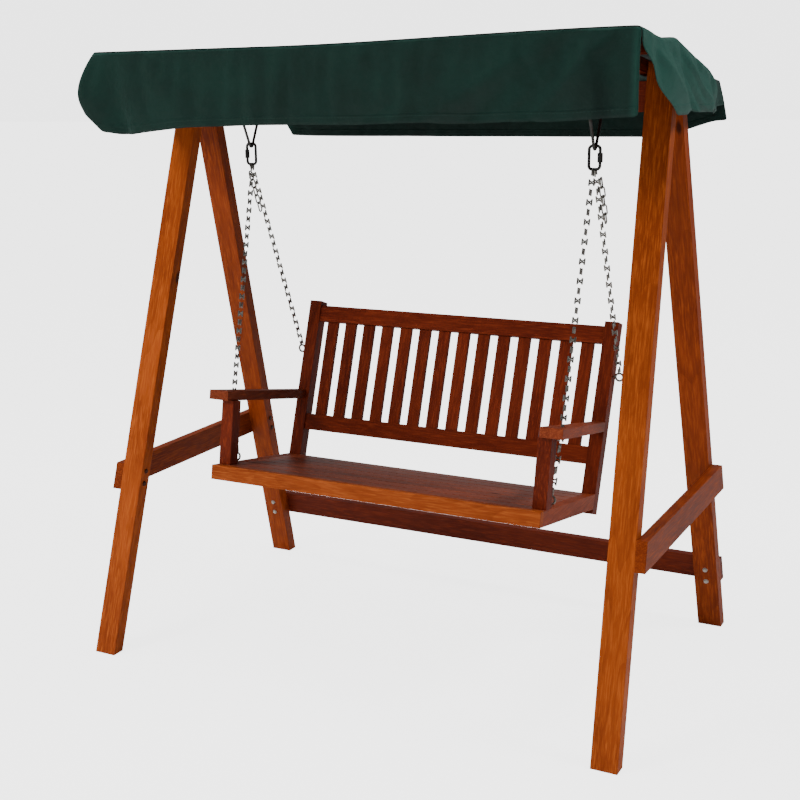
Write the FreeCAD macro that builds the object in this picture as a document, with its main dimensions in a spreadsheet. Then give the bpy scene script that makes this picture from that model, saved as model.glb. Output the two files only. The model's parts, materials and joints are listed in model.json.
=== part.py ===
"""Two-seat porch swing: two leaning A-frames, a ridge beam, a chain-hung bench and a tilting canopy.

Frame: +Z up, +X to the right of someone who faces the bench, -Y towards the front.
The origin is on the ground, midway between the four feet. Millimetres and degrees.
"""
import FreeCAD, Part
import Sketcher
import math
import os

V = FreeCAD.Vector
SIDES = (("left", -1), ("right", 1))
ENDS = (("front", -1), ("rear", 1))

SIZES = {
    # A-frames: board legs, raked front to rear and leaning inwards
    "frame_width": 1564.0,          # between leg centres on the ground
    "frame_depth": 1067.0,          # over the outer faces of the feet
    "leg_meet": 31.0,               # outer faces from the middle plane at the leg tops
    "leg_lean": 2.52,
    "leg_width": 70.0,
    "leg_depth": 40.0,
    "leg_top": 1692.0,
    # braces and rear stretcher, cut from one board
    "brace_level": 518.0,
    "brace_height": 76.0,
    "brace_thick": 28.0,
    "stretcher_level": 192.0,
    # ridge beam
    "beam_drop": 47.0,              # leg tops to the beam's upper face
    "beam_height": 75.0,
    "beam_depth": 90.0,
    # bolts
    "bolt_radius": 4.0,
    "bolt_head_radius": 8.0,
    "bolt_head_height": 4.0,
    "bolt_pitch": 40.0,             # between the two bolts of a joint
    "bolt_cover": 6.0,              # wood left beyond a blind bolt
    "beam_bolt_bite": 63.0,         # of a bolt in the end of the beam
    "hole_clearance": 0.4,
    "thread_gap": 0.05,
    # hanger loops, quick links and chains
    "hanger_setout": 14.0,          # seat's sides to the hanger loops
    "hanger_wire": 4.0,             # radius
    "hanger_drop": 86.0,            # beam underside to the swing's pivot line
    "quick_link_drop": 60.0,        # between the centres of its top and bottom bars
    "quick_link_width": 30.0,
    "quick_link_wire": 4.0,         # radius
    "sleeve_nut_length": 24.0,
    "sleeve_nut_radius": 7.5,       # over the corners of its hexagon
    "running_gap": 0.6,
    "chain_wire": 2.2,              # radius
    "chain_pitch": 26.0,            # nominal, each run adjusts it to fit its length
    "chain_inner_width": 9.0,
    "eye_radius": 11.0,
    "eye_wire": 3.0,                # radius
    "eye_neck": 4.0,
    "eye_shank": 28.0,
    # bench seat, in its own frame at the top front edge of the apron
    "seat_half_width": 517.0,
    "seat_front": 301.0,
    "seat_level": 569.0,
    "seat_tilt": 10.0,
    "seat_depth": 445.0,            # front edge to the front face of the back posts
    "seat_rail_height": 43.0,
    "seat_rail_thick": 28.0,
    "apron_thick": 22.0,
    "seat_slat_thick": 18.0,
    "seat_slat_gap": 6.0,
    "cleat_width": 18.0,
    # back, in its own frame on the front face of the posts at seat level
    "back_recline": 9.0,            # beyond square to the seat
    "post_width": 41.0,
    "post_depth": 40.0,
    "post_top": 504.0,
    "post_drop": 58.0,
    "back_rail_thick": 28.0,
    "back_rail_inset": 4.0,
    "back_rail_height": 51.0,
    "lower_rail_level": 85.0,
    "top_rail_level": 439.0,
    "back_slat_width": 38.0,
    "back_slat_thick": 12.0,
    # arms
    "arm_setout": 3.0,              # seat's sides to the middle of an arm
    "arm_width": 64.0,
    "arm_thick": 28.0,
    "arm_front": 20.0,
    "arm_height": 220.0,
    "arm_slope": 1.4,
    "arm_rear_spare": 1.0,          # an arm's outer side stands this far off the post's at the rear
    "arm_post_width": 39.0,
    "arm_post_depth": 40.0,
    "arm_post_setback": 38.0,
    "arm_hole_radius": 12.0,
    "arm_hole_setback": 102.0,
    "rail_eye_setback": 112.0,
    "post_eye_level": 347.0,
    # canopy frame and its tilt pivots
    "pivot_drop": 16.0,             # leg tops to the canopy's pivot bolts
    "canopy_tilt": 7.5,
    "stud_reach": 18.0,             # pivot bolt left standing inside a rafter
    "washer_radius": 11.0,
    "washer_thick": 2.0,
    "wing_hub_height": 8.0,
    "wing_span": 36.0,
    "wing_height": 12.0,
    "rafter_gap": 1.5,
    "rafter_thick": 24.0,
    "rafter_half_height": 17.0,
    "rafter_front": 389.0,
    "rafter_rear": 508.0,
    "canopy_rail_thick": 22.0,
    "canopy_rail_height": 40.0,
    "front_rail_overhang": 19.5,    # beyond the legs' outer faces at their tops
    "rear_rail_overhang": 30.0,     # beyond the rafters' outer faces
    "ridge_rail_thick": 30.0,
    "ridge_rail_width": 40.0,
    "ridge_rail_setout": 135.0,     # ahead of the pivot
    # canopy cover
    "cover_thick": 2.0,
    "cover_ease": 2.0,              # between the cover and the frame under it
    "cover_ridge": 128.0,           # how far the cover's highest fold is ahead of the pivot
    "cover_ridge_rise": 58.0,       # above the leg tops
    "valance_front_drop": 130.0,    # leg tops to each hem
    "valance_rear_drop": 210.0,
    "side_flap_drop": 108.0,
}
BACK_SLATS = 14
SEAT_SLATS = 7
LINK_CLEARANCE = 0.3
EYE_HOLE_SPARE = 6                  # bored deeper than an eye's shank is long
EYE_BORE = f"sizes.eye_shank + {EYE_HOLE_SPARE}"
QUICK_LINK_BEND = 0.62              # corner radius as a share of the half width
BELOW = 400                         # reach of the tools that open the cover underneath

LEG_RAKE = "(atan((sizes.frame_depth / 2 - sizes.leg_meet) / sizes.leg_top) / 1 deg)"
BEAM_LOW = "(sizes.leg_top - sizes.beam_drop - sizes.beam_height)"
PIVOT_LEVEL = "(sizes.leg_top - sizes.pivot_drop)"
HANGER_HALF_SPAN = "(sizes.seat_half_width + sizes.hanger_setout)"
ARM_HALF_SPAN = "(sizes.seat_half_width + sizes.arm_setout)"

doc = FreeCAD.newDocument("porch_swing")
sheet = doc.addObject("Spreadsheet::Sheet", "sizes")
for row, (alias, value) in enumerate(SIZES.items(), start=1):
    sheet.set(f"A{row}", str(value))
    sheet.setAlias(f"A{row}", alias)
doc.recompute()

nodes = []


def size(alias):
    return float(sheet.get(alias))


def worked(formula):
    """The value of a formula of the sheet's sizes."""
    return float(sheet.evalExpression(formula))


def keep(item, label):
    """Names a finished sub-part, which is written to its own file."""
    item.Label = label
    nodes.append(item)
    return item


def bind(item, **formulas):
    for prop, formula in formulas.items():
        item.setExpression(prop, str(formula))
    return item


def place(x=0, y=0, z=0, axis=(1, 0, 0), angle=0, frame=None):
    """The formula of a placement: a shift and a turn, inside another frame when one is given."""
    turn = f"rotation(vector({axis[0]}; {axis[1]}; {axis[2]}); {angle})"
    own = f"placement(vector({x}; {y}; {z}); {turn})"
    return f"{frame} * {own}" if frame else own


SEAT = place(y="-sizes.seat_front", z="sizes.seat_level", angle="-sizes.seat_tilt")
BACK = place(y="sizes.seat_depth", angle="-sizes.back_recline", frame=SEAT)
CANOPY = place(z=PIVOT_LEVEL, angle="-sizes.canopy_tilt")


def board(name, length, width, height, where):
    """A square-cut board: length along X, width along Y, height along Z of its own frame."""
    item = doc.addObject("Part::Box", name)
    return bind(item, Length=length, Width=width, Height=height, Placement=where)


def slanted_board(name, low, high, x_low, x_high, y_low, y_high):
    """A board with level ends whose other faces slant: spans in X and Y at its low and high ends."""
    item = doc.addObject("Part::Wedge", name)
    bind(item, Ymin=low, Ymax=high, Xmin=x_low[0], Xmax=x_low[1], X2min=x_high[0], X2max=x_high[1])
    bind(item, Zmin=f"-({y_low[1]})", Zmax=f"-({y_low[0]})")
    bind(item, Z2min=f"-({y_high[1]})", Z2max=f"-({y_high[0]})")
    return bind(item, Placement=place(angle=90))


def profile_board(name, corners, width, where):
    """A board cut to a side profile: corners are (y, z) formulas, and its width runs along +X."""
    body = doc.addObject("PartDesign::Body", name)
    plane = [item for item in body.Origin.OriginFeatures if item.Role == "YZ_Plane"][0]
    sketch = body.newObject("Sketcher::SketchObject", name + "_sketch")
    sketch.AttachmentSupport = [(plane, "")]
    sketch.MapMode = "FlatFace"
    spots = [V(sheet.evalExpression(y), sheet.evalExpression(z), 0) for y, z in corners]
    for number, spot in enumerate(spots):
        sketch.addGeometry(Part.LineSegment(spot, spots[(number + 1) % len(spots)]), False)
    for number, (y, z) in enumerate(corners):
        after = (number + 1) % len(corners)
        sketch.addConstraint(Sketcher.Constraint("Coincident", number, 2, after, 1))
        across = sketch.addConstraint(Sketcher.Constraint("DistanceX", -1, 1, number, 1, spots[number].x))
        upward = sketch.addConstraint(Sketcher.Constraint("DistanceY", -1, 1, number, 1, spots[number].y))
        sketch.setExpression(f"Constraints[{across}]", y)
        sketch.setExpression(f"Constraints[{upward}]", z)
    pad = body.newObject("PartDesign::Pad", name + "_pad")
    pad.Profile = sketch
    pad.setExpression("Length", str(width))
    return bind(body, Placement=where)


def drill(name, blank, tools):
    """Cuts the tools out of a blank."""
    item = doc.addObject("Part::Cut", name + "_drilled")
    item.Base = blank
    item.Tool = tools[0]
    if len(tools) > 1:
        item.Tool = doc.addObject("Part::MultiFuse", name + "_tools")
        item.Tool.Shapes = tools
    return item


def rod(name, radius, length, where):
    item = doc.addObject("Part::Cylinder", name)
    return bind(item, Radius=radius, Height=length, Placement=where)


def group(label, items):
    """One node that holds several separate solids."""
    item = doc.addObject("Part::Compound", label)
    item.Links = items
    return keep(item, label)


def bolt_set(label, spots, length):
    """Bolts whose heads stand on the spots and whose shanks run along each spot's own Z."""
    bolts = []
    for number, spot in enumerate(spots):
        shank = rod(f"{label}_shank_{number}", "sizes.bolt_radius", length, spot)
        head = doc.addObject("Part::Cone", f"{label}_head_{number}")
        bind(head, Radius1="sizes.bolt_head_radius * 0.7", Radius2="sizes.bolt_head_radius")
        bind(head, Height="sizes.bolt_head_height", Placement=place(z="-sizes.bolt_head_height", frame=spot))
        bolt = doc.addObject("Part::MultiFuse", f"{label}_bolt_{number}")
        bolt.Shapes = [shank, head]
        bolts.append(bolt)
    return bolts


def bolt_holes(name, spots, length):
    """Tools that clear the shanks of bolts on the same spots, and a little beyond their tips."""
    wide = "sizes.bolt_radius + sizes.hole_clearance"
    deep = f"{length} + 1.5 * sizes.bolt_head_height"
    start = "-sizes.bolt_head_height"
    return [rod(f"{name}_{number}", wide, deep, place(z=start, frame=spot))
            for number, spot in enumerate(spots)]


# ---- A-frame geometry: formulas for its faces at a height z ----

def leg_x(side, offset, z):
    """X of a plane of an A-frame, offset outwards from the middle of its legs."""
    return f"{side} * (sizes.frame_width / 2 + ({offset}) - tan(sizes.leg_lean) * ({z}))"


def leg_span(side, inner, outer, z):
    span = [leg_x(side, inner, z), leg_x(side, outer, z)]
    return span if side > 0 else span[::-1]


def leg_y(end, depth, z):
    """Y of a plane of the legs, depth inwards from their outer faces."""
    return f"{end} * (sizes.frame_depth / 2 - ({depth}) / cos({LEG_RAKE}) - tan({LEG_RAKE}) * ({z}))"


def leg_depth_span(end, outer, inner, z):
    span = [leg_y(end, inner, z), leg_y(end, outer, z)]
    return span if end > 0 else span[::-1]


def brace_spots(side, end):
    """Two bolts from the inner face of a leg out into its brace."""
    spots = []
    for step in (-0.45, 0.45):
        z = f"sizes.brace_level + {step} * sizes.bolt_pitch"
        x = leg_x(side, "-sizes.leg_width / 2", z)
        y = leg_y(end, "sizes.leg_depth / 2", z)
        spots.append(place(x, y, z, axis=(0, 1, 0), angle=f"{side} * (90 - sizes.leg_lean)"))
    return spots


def stretcher_spots(side):
    """Two bolts from the front face of a rear leg back into the stretcher."""
    spots = []
    for step in (-0.5, 0.5):
        z = f"sizes.stretcher_level - sizes.leg_depth * sin({LEG_RAKE}) + {step} * sizes.bolt_pitch"
        x = leg_x(side, "0", z)
        y = leg_y(1, "sizes.leg_depth", z)
        spots.append(place(x, y, z, angle=f"-(90 - {LEG_RAKE})"))
    return spots


def beam_spot(side, end):
    """One bolt from the outer face of a leg into the end of the beam."""
    z = f"{BEAM_LOW} + sizes.beam_height / 2"
    x = leg_x(side, "sizes.leg_width / 2", z)
    y = f"{end} * sizes.beam_depth / 3"
    return place(x, y, z, axis=(0, 1, 0), angle=f"{-side} * (90 + sizes.leg_lean)")


def pivot_spot(side):
    """The canopy's pivot bolt, level, from just outside the mitred leg tops."""
    x = leg_x(side, "sizes.leg_width / 2", f"{PIVOT_LEVEL} - sizes.bolt_head_radius")
    return place(x, 0, PIVOT_LEVEL, axis=(0, 1, 0), angle=f"{-side} * 90")


BRACE_BOLT = "sizes.leg_width + sizes.brace_thick - sizes.bolt_cover"
STRETCHER_BOLT = "sizes.leg_depth + sizes.brace_thick - sizes.bolt_cover"
BEAM_BOLT = "sizes.leg_width + sizes.beam_bolt_bite"
PIVOT_BOLT = "sizes.leg_width + sizes.rafter_gap + sizes.rafter_thick + sizes.stud_reach"


def make_leg(side_name, side, end_name, end):
    """A raked leg, mitred against its partner on the middle plane."""
    name = f"{end_name}_leg_{side_name}"
    half = "sizes.leg_width / 2"
    blank = slanted_board(
        name + "_blank", 0, "sizes.leg_top",
        leg_span(side, f"-{half}", half, "0"), leg_span(side, f"-{half}", half, "sizes.leg_top"),
        leg_depth_span(end, "0", "sizes.leg_depth", "0"),
        leg_depth_span(end, "0", "sizes.leg_depth", "sizes.leg_top"))
    beyond = board(
        name + "_beyond_mitre", "2 * sizes.frame_width", "sizes.frame_depth", "2 * sizes.leg_top",
        place("-sizes.frame_width", "-sizes.frame_depth" if end > 0 else 0, 0))
    tools = [beyond]
    tools += bolt_holes(name + "_brace_hole", brace_spots(side, end), BRACE_BOLT)
    tools += bolt_holes(name + "_beam_hole", [beam_spot(side, end)], BEAM_BOLT)
    tools += bolt_holes(name + "_pivot_hole", [pivot_spot(side)], "sizes.leg_width")
    if end > 0:
        tools += bolt_holes(name + "_stretcher_hole", stretcher_spots(side), STRETCHER_BOLT)
    keep(drill(name, blank, tools), name)


def make_brace(side_name, side):
    """A board on the outer faces of two legs, its ends cut along their rake."""
    name = f"side_brace_{side_name}"
    low = "sizes.brace_level - sizes.brace_height / 2"
    high = "sizes.brace_level + sizes.brace_height / 2"
    inner, outer = "sizes.leg_width / 2", "sizes.leg_width / 2 + sizes.brace_thick"
    blank = slanted_board(
        name + "_blank", low, high, leg_span(side, inner, outer, low), leg_span(side, inner, outer, high),
        (leg_y(-1, "0", low), leg_y(1, "0", low)), (leg_y(-1, "0", high), leg_y(1, "0", high)))
    spots = [spot for _, end in ENDS for spot in brace_spots(side, end)]
    keep(drill(name, blank, bolt_holes(name + "_hole", spots, BRACE_BOLT)), name)


def make_stretcher():
    """A board across the rear faces of the rear legs, flush with their outer sides."""
    low = "sizes.stretcher_level - sizes.brace_height / 2"
    high = "sizes.stretcher_level + sizes.brace_height / 2"
    half = "sizes.leg_width / 2"
    blank = slanted_board(
        "rear_stretcher_blank", low, high,
        (leg_x(-1, half, low), leg_x(1, half, low)), (leg_x(-1, half, high), leg_x(1, half, high)),
        (leg_y(1, "0", low), leg_y(1, "-sizes.brace_thick", low)),
        (leg_y(1, "0", high), leg_y(1, "-sizes.brace_thick", high)))
    spots = [spot for _, side in SIDES for spot in stretcher_spots(side)]
    tools = bolt_holes("rear_stretcher_hole", spots, STRETCHER_BOLT)
    keep(drill("rear_stretcher", blank, tools), "rear_stretcher")


def make_beam():
    """The ridge beam, butted between the A-frames."""
    low, high = BEAM_LOW, f"{BEAM_LOW} + sizes.beam_height"
    inner = "-sizes.leg_width / 2"
    span_y = ("-sizes.beam_depth / 2", "sizes.beam_depth / 2")
    blank = slanted_board(
        "top_beam_blank", low, high,
        (leg_x(-1, inner, low), leg_x(1, inner, low)), (leg_x(-1, inner, high), leg_x(1, inner, high)),
        span_y, span_y)
    spots = [beam_spot(side, end) for _, side in SIDES for _, end in ENDS]
    keep(drill("top_beam", blank, bolt_holes("top_beam_hole", spots, BEAM_BOLT)), "top_beam")


def rafter_face(side, depth):
    """X of a plane of a rafter, depth inwards from its outer face."""
    return leg_x(side, f"-(sizes.leg_width / 2 + sizes.rafter_gap) - ({depth})", "sizes.leg_top")


def make_wing_nuts():
    """A wing nut with a fixed washer on each pivot bolt, one solid each."""
    parts = []
    for side_name, side in SIDES:
        spot = place(
            rafter_face(side, "sizes.rafter_thick + sizes.running_gap"), 0, PIVOT_LEVEL,
            axis=(0, 1, 0), angle=f"{-side} * 90")
        washer = rod(f"wing_washer_{side_name}", "sizes.washer_radius", "sizes.washer_thick", spot)
        hub_spot = place(z="sizes.washer_thick", frame=spot)
        hub = rod(f"wing_hub_{side_name}", "sizes.bolt_head_radius", "sizes.wing_hub_height", hub_spot)
        wing = board(f"wing_{side_name}", "sizes.bolt_radius", "sizes.wing_span", "sizes.wing_height",
                     place("-sizes.bolt_radius / 2", "-sizes.wing_span / 2",
                           "sizes.washer_thick + sizes.running_gap", frame=spot))
        nut = doc.addObject("Part::MultiFuse", f"wing_nut_solid_{side_name}")
        nut.Shapes = [washer, hub, wing]
        bore = rod(f"wing_bore_{side_name}", "sizes.bolt_radius + sizes.thread_gap", "2 * sizes.stud_reach",
                   place(z="-sizes.washer_thick", frame=spot))
        parts.append(drill(f"wing_nut_{side_name}", nut, [bore]))
    group("wing_nuts", parts)


# ---- canopy ----

def make_rafter(side_name, side):
    """A side board of the canopy frame, bored for its pivot bolt."""
    name = f"canopy_rafter_{side_name}"
    edge = rafter_face(side, "sizes.rafter_thick" if side > 0 else "0")
    blank = board(
        name + "_blank", "sizes.rafter_thick", "sizes.rafter_front + sizes.rafter_rear",
        "2 * sizes.rafter_half_height",
        place(edge, "-sizes.rafter_front", "-sizes.rafter_half_height", frame=CANOPY))
    bore = rod(
        name + "_bore", "sizes.bolt_radius + sizes.hole_clearance", "2 * sizes.rafter_thick",
        place(f"{edge} - sizes.rafter_thick / 2", 0, PIVOT_LEVEL, axis=(0, 1, 0), angle=90))
    keep(drill(name, blank, [bore]), name)


def rail_half(which):
    """Half the length of the front or the rear canopy rail."""
    if which == "front":
        return f"({leg_x(1, 'sizes.leg_width / 2', 'sizes.leg_top')} + sizes.front_rail_overhang)"
    return f"({rafter_face(1, '0')} + sizes.rear_rail_overhang)"


def make_canopy_rails():
    """Front and rear rails across the rafter ends, and a flat ridge rail on top of the rafters."""
    front_half, rear_half = rail_half("front"), rail_half("rear")
    drop = "sizes.rafter_half_height - sizes.canopy_rail_height"
    thick = "sizes.canopy_rail_thick"
    front = board("front_rail", f"2 * {front_half}", thick, "sizes.canopy_rail_height",
                  place(f"-{front_half}", f"-sizes.rafter_front - {thick}", drop, frame=CANOPY))
    rear = board("rear_rail", f"2 * {rear_half}", thick, "sizes.canopy_rail_height",
                 place(f"-{rear_half}", "sizes.rafter_rear", drop, frame=CANOPY))
    ridge = board("ridge_rail", f"2 * {rear_half}", "sizes.ridge_rail_width", "sizes.ridge_rail_thick",
                  place(f"-{rear_half}", "-sizes.ridge_rail_setout - sizes.ridge_rail_width / 2",
                        "sizes.rafter_half_height", frame=CANOPY))
    keep(front, "canopy_rail_front")
    keep(rear, "canopy_rail_rear")
    keep(ridge, "canopy_rail_ridge")


def canopy_point(y, z):
    """World (y, z) formulas of a point of the tilted canopy frame."""
    across = f"({y}) * cos(sizes.canopy_tilt) + ({z}) * sin(sizes.canopy_tilt)"
    upward = f"{PIVOT_LEVEL} - ({y}) * sin(sizes.canopy_tilt) + ({z}) * cos(sizes.canopy_tilt)"
    return across, upward


def cover_part(name, grow, lows):
    """The closed tent over the canopy frame, grown off it by grow: a front wedge and a rear wedge."""
    top = "sizes.rafter_half_height"
    rail_foot = "sizes.rafter_half_height - sizes.canopy_rail_height"
    front = "-sizes.rafter_front - sizes.canopy_rail_thick"
    rear = "sizes.rafter_rear + sizes.canopy_rail_thick"
    front_y = f"{canopy_point(front, rail_foot)[0]} - ({grow})"
    front_z = f"{canopy_point(front, top)[1]} + ({grow})"
    rear_y = f"{canopy_point(rear, top)[0]} + ({grow})"
    rear_z = f"{canopy_point(rear, top)[1]} + ({grow})"
    ridge_y = "-sizes.cover_ridge"
    ridge_z = f"sizes.leg_top + sizes.cover_ridge_rise - sizes.cover_thick + ({grow})"
    half = f"{rail_half('front')} + ({grow})"
    low_front, low_rear = lows
    low_ridge = f"(({low_front}) + ({low_rear})) / 2"
    parts = []
    steps = (("fore", (front_y, low_front, front_z), (ridge_y, low_ridge, ridge_z)),
             ("aft", (ridge_y, low_ridge, ridge_z), (rear_y, low_rear, rear_z)))
    for step, near, far in steps:
        wedge = doc.addObject("Part::Wedge", f"{name}_{step}")
        bind(wedge, Ymin=near[0], Ymax=far[0], Zmin=near[1], Zmax=near[2], Z2min=far[1], Z2max=far[2])
        bind(wedge, Xmin=f"-({half})", Xmax=half, X2min=f"-({half})", X2max=half)
        parts.append(wedge)
    whole = doc.addObject("Part::MultiFuse", name)
    whole.Shapes = parts
    return whole


def make_cover():
    """The fabric cover: a roof, two valances and two shorter side flaps, open underneath."""
    front, rear = "sizes.leg_top - sizes.valance_front_drop", "sizes.leg_top - sizes.valance_rear_drop"
    flap = f"sizes.leg_top - sizes.side_flap_drop - {BELOW}"
    outer = cover_part("cover_outer", "sizes.cover_ease + sizes.cover_thick", (front, rear))
    inner = cover_part("cover_inner", "sizes.cover_ease", (f"{front} - {BELOW}", f"{rear} - {BELOW}"))
    below_flaps = board(
        "cover_below_flaps", "2 * sizes.frame_width", "sizes.rafter_front + sizes.rafter_rear", BELOW,
        place("-sizes.frame_width", "-sizes.rafter_front", flap))
    keep(drill("canopy_cover", outer, [inner, below_flaps]), "canopy_cover")


# ---- bench ----

def post_face(z):
    """Y of the front face of the back posts in the seat frame, at height z."""
    return f"sizes.seat_depth + ({z}) * tan(sizes.back_recline)"


def arm_top(y):
    """Height of an arm's upper face in the seat frame."""
    return f"sizes.arm_height - (({y}) - sizes.arm_front) * tan(sizes.arm_slope)"


def arm_end(drop):
    """Y where a plane of the arm, drop below its upper face, meets the back post."""
    level = f"(sizes.arm_height - {drop} + sizes.arm_front * tan(sizes.arm_slope))"
    slopes = "(1 + tan(sizes.arm_slope) * tan(sizes.back_recline))"
    return f"(sizes.seat_depth + tan(sizes.back_recline) * {level}) / {slopes}"


def edge_of(side, outer, width):
    """The lower X of a piece whose outer face is at outer."""
    return f"{outer} - {width}" if side > 0 else f"-({outer})"


def fore_and_aft(name, x, width, low, high):
    """A board from the apron back to the plane of the back posts."""
    corners = [("sizes.apron_thick", low), (post_face(low), low), (post_face(high), high),
               ("sizes.apron_thick", high)]
    return profile_board(name, corners, width, place(x, frame=SEAT))


def make_seat_frame():
    """Apron, side rails, rear rail, slat cleats and the middle bearer."""
    drop = "-sizes.seat_rail_height"
    under_slats = "-sizes.seat_slat_thick"
    cleats = []
    keep(board("seat_apron", "2 * sizes.seat_half_width", "sizes.apron_thick", "sizes.seat_rail_height",
               place("-sizes.seat_half_width", 0, drop, frame=SEAT)), "seat_apron")
    inner = "sizes.seat_half_width - sizes.post_width"
    keep(board("seat_rear_rail", f"2 * ({inner})", "sizes.apron_thick", "sizes.seat_rail_height",
               place(f"-({inner})", 0, drop, frame=BACK)), "seat_rear_rail")
    keep(fore_and_aft("seat_middle_bearer", "-sizes.seat_rail_thick / 2", "sizes.seat_rail_thick",
                      drop, under_slats), "seat_middle_bearer")
    for side_name, side in SIDES:
        name = f"seat_side_rail_{side_name}"
        x = edge_of(side, "sizes.seat_half_width", "sizes.seat_rail_thick")
        rail = fore_and_aft(name + "_blank", x, "sizes.seat_rail_thick", drop, "0")
        keep(drill(name, rail, [rail_eye_hole(side)]), name)
        rail_inner = "sizes.seat_half_width - sizes.seat_rail_thick"
        x = edge_of(side, rail_inner, "sizes.cleat_width")
        cleats.append(fore_and_aft(f"seat_cleat_{side_name}", x, "sizes.cleat_width", drop, under_slats))
    group("seat_cleats", cleats)


def make_seat_slats():
    """Lengthwise slats between the side rails."""
    gap = "sizes.seat_slat_gap"
    half = "(sizes.seat_half_width - sizes.seat_rail_thick - 0.5)"
    width = f"((sizes.seat_depth - sizes.apron_thick - {SEAT_SLATS + 1} * {gap}) / {SEAT_SLATS})"
    for number in range(SEAT_SLATS):
        y = f"sizes.apron_thick + {gap} + {number} * ({width} + {gap})"
        name = f"seat_slat_{number + 1}"
        keep(board(name, f"2 * {half}", width, "sizes.seat_slat_thick",
                   place(f"-{half}", y, "-sizes.seat_slat_thick", frame=SEAT)), name)


def make_back():
    """Posts, two cross rails and the upright slats between them."""
    inner = "(sizes.seat_half_width - sizes.post_width)"
    for side_name, side in SIDES:
        name = f"back_post_{side_name}"
        x = edge_of(side, "sizes.seat_half_width", "sizes.post_width")
        blank = board(name + "_blank", "sizes.post_width", "sizes.post_depth",
                      "sizes.post_drop + sizes.post_top", place(x, 0, "-sizes.post_drop", frame=BACK))
        keep(drill(name, blank, [post_eye_hole(side)]), name)
    for name, which in (("back_rail_lower", "lower"), ("back_rail_top", "top")):
        level = f"sizes.{which}_rail_level"
        keep(board(name, f"2 * {inner}", "sizes.back_rail_thick", "sizes.back_rail_height",
                   place(f"-{inner}", "sizes.back_rail_inset", level, frame=BACK)), name)
    low = "(sizes.lower_rail_level + sizes.back_rail_height)"
    gap = f"((2 * {inner} - {BACK_SLATS} * sizes.back_slat_width) / {BACK_SLATS + 1})"
    y = "sizes.back_rail_inset + (sizes.back_rail_thick - sizes.back_slat_thick) / 2"
    for number in range(BACK_SLATS):
        x = f"-{inner} + {gap} + {number} * (sizes.back_slat_width + {gap})"
        name = f"back_slat_{number + 1:02d}"
        keep(board(name, "sizes.back_slat_width", "sizes.back_slat_thick", f"sizes.top_rail_level - {low}",
                   place(x, y, low, frame=BACK)), name)


def arm_taper(side):
    """What is cut from an arm's outer side, so that it runs in to the back post's outer face."""
    overhang = "(sizes.arm_setout + sizes.arm_width / 2 - sizes.arm_rear_spare)"
    angle = f"(atan({overhang} / ({arm_end('0')} - sizes.arm_front)) / 1 deg)"
    corner = place(f"{side} * ({ARM_HALF_SPAN} + sizes.arm_width / 2)", "sizes.arm_front", 0,
                   axis=(0, 0, 1), angle=f"{side} * {angle}", frame=SEAT)
    return board(
        f"arm_taper_{side + 1}", "sizes.arm_width", "2 * sizes.seat_depth", "2 * sizes.arm_height",
        place("-sizes.arm_width" if side < 0 else 0, "-sizes.seat_depth / 2", frame=corner))


def make_arms():
    """Arms and the short posts under their front ends."""
    for side_name, side in SIDES:
        name = f"arm_{side_name}"
        thick = "sizes.arm_thick / cos(sizes.arm_slope)"
        front, rear = "sizes.arm_front", arm_end("0")
        corners = [(front, f"{arm_top(front)} - {thick}"),
                   (arm_end(thick), f"{arm_top(arm_end(thick))} - {thick}"),
                   (rear, arm_top(rear)), (front, arm_top(front))]
        middle = f"{side} * {ARM_HALF_SPAN} - sizes.arm_width / 2"
        blank = profile_board(name + "_blank", corners, "sizes.arm_width", place(middle, frame=SEAT))
        hole = rod(name + "_hole", "sizes.arm_hole_radius", "sizes.arm_height",
                   place(f"{side} * {ARM_HALF_SPAN}", "sizes.arm_hole_setback",
                         "sizes.arm_height / 2 + sizes.arm_thick", frame=SEAT))
        keep(drill(name, blank, [hole, arm_taper(side)]), name)
        name = f"arm_post_{side_name}"
        near, far = "sizes.arm_post_setback", "sizes.arm_post_setback + sizes.arm_post_depth"
        corners = [(near, "0"), (far, "0"), (far, f"{arm_top(far)} - {thick}"),
                   (near, f"{arm_top(near)} - {thick}")]
        x = edge_of(side, "sizes.seat_half_width", "sizes.arm_post_width")
        keep(profile_board(name, corners, "sizes.arm_post_width", place(x, frame=SEAT)), name)


def rail_eye_hole(side):
    """The bore for the front eye, square to the top of a side rail."""
    x = f"{side} * (sizes.seat_half_width - sizes.seat_rail_thick / 2)"
    return rod(f"rail_eye_hole_{side + 1}", "sizes.eye_wire + sizes.hole_clearance", EYE_BORE,
               place(x, "sizes.rail_eye_setback", f"-sizes.eye_shank - {EYE_HOLE_SPARE / 2}", frame=SEAT))


def post_eye_hole(side):
    """The bore for the rear eye, from the outer face of a back post."""
    x = f"{side} * (sizes.seat_half_width + {EYE_HOLE_SPARE / 2})"
    return rod(f"post_eye_hole_{side + 1}", "sizes.eye_wire + sizes.hole_clearance", EYE_BORE,
               place(x, "sizes.post_depth / 2", "sizes.post_eye_level", axis=(0, 1, 0),
                     angle=f"{-side} * 90", frame=BACK))


# ---- bent wire: hanger loops, quick links, chains and eyes ----

def corner_wire(points, radii):
    """A closed wire of straight runs joined by tangent arcs."""
    entries, middles, exits = [], [], []
    for number, point in enumerate(points):
        back = (points[number - 1] - point).normalize()
        ahead = (points[(number + 1) % len(points)] - point).normalize()
        half = back.getAngle(ahead) / 2
        cut = radii[number] / math.tan(half)
        inward = (back + ahead).normalize()
        centre = point + inward * (radii[number] / math.sin(half))
        entries.append(point + back * cut)
        middles.append(centre - inward * radii[number])
        exits.append(point + ahead * cut)
    edges = []
    for number in range(len(points)):
        edges.append(Part.Arc(entries[number], middles[number], exits[number]).toShape())
        edges.append(Part.LineSegment(exits[number], entries[(number + 1) % len(points)]).toShape())
    return Part.Wire(edges)


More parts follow.
